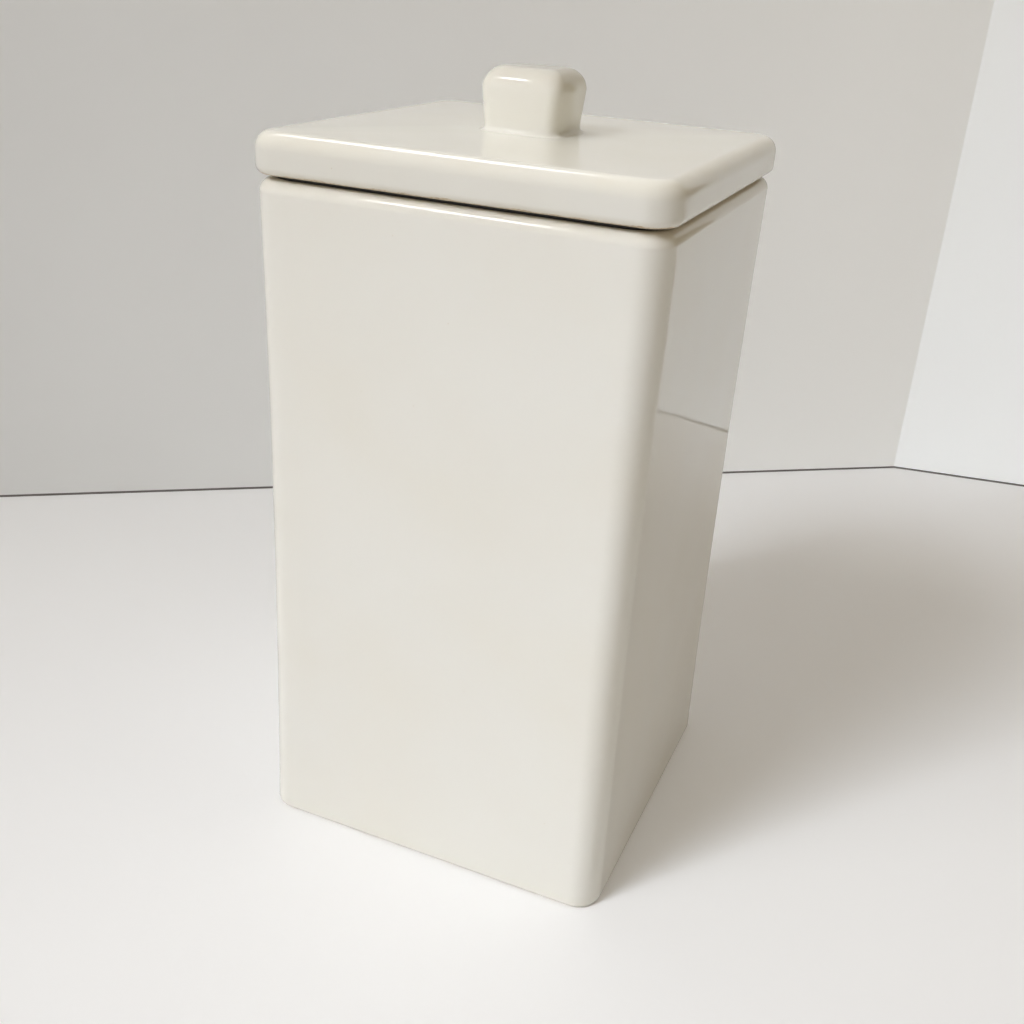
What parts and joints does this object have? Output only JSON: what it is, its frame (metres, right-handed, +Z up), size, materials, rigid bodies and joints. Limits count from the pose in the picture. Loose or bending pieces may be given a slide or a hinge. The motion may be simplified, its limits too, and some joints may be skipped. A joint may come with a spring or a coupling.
{
  "type": "square kitchen canister",
  "caption": "Tall square glazed ceramic canister with a lift-off slab lid, a square knob and a ring seal, for dry food such as rice.",
  "frame": {"origin": "middle of the base, on the plane that the foot ring stands on", "axes": "+Z up, -Y out of the front face, +X to the right seen from the front"},
  "size_m": [0.1286, 0.1286, 0.2584],
  "materials": {
    "body_glaze": "glossy ivory glaze over slip-cast stoneware, wiped bare on the foot ring",
    "lid_glaze": "glossy ivory glaze, wiped bare on the underside where the lid is set down to fire",
    "knob_glaze": "glossy ivory glaze, continuous with the lid's",
    "seal_rubber": "moulded black elastomer, satin"
  },
  "bodies": {
    "canister": {"canister_body": "body_glaze"},
    "lid_assembly": {"lid": "lid_glaze", "lid_knob": "knob_glaze", "lid_seal": "seal_rubber"}
  },
  "joints": [
    {"name": "lid_lift", "type": "slide", "parent": "canister", "child": "lid_assembly", "axis": [0, 0, 1], "range_m": [0, 0.08]}
  ]
}
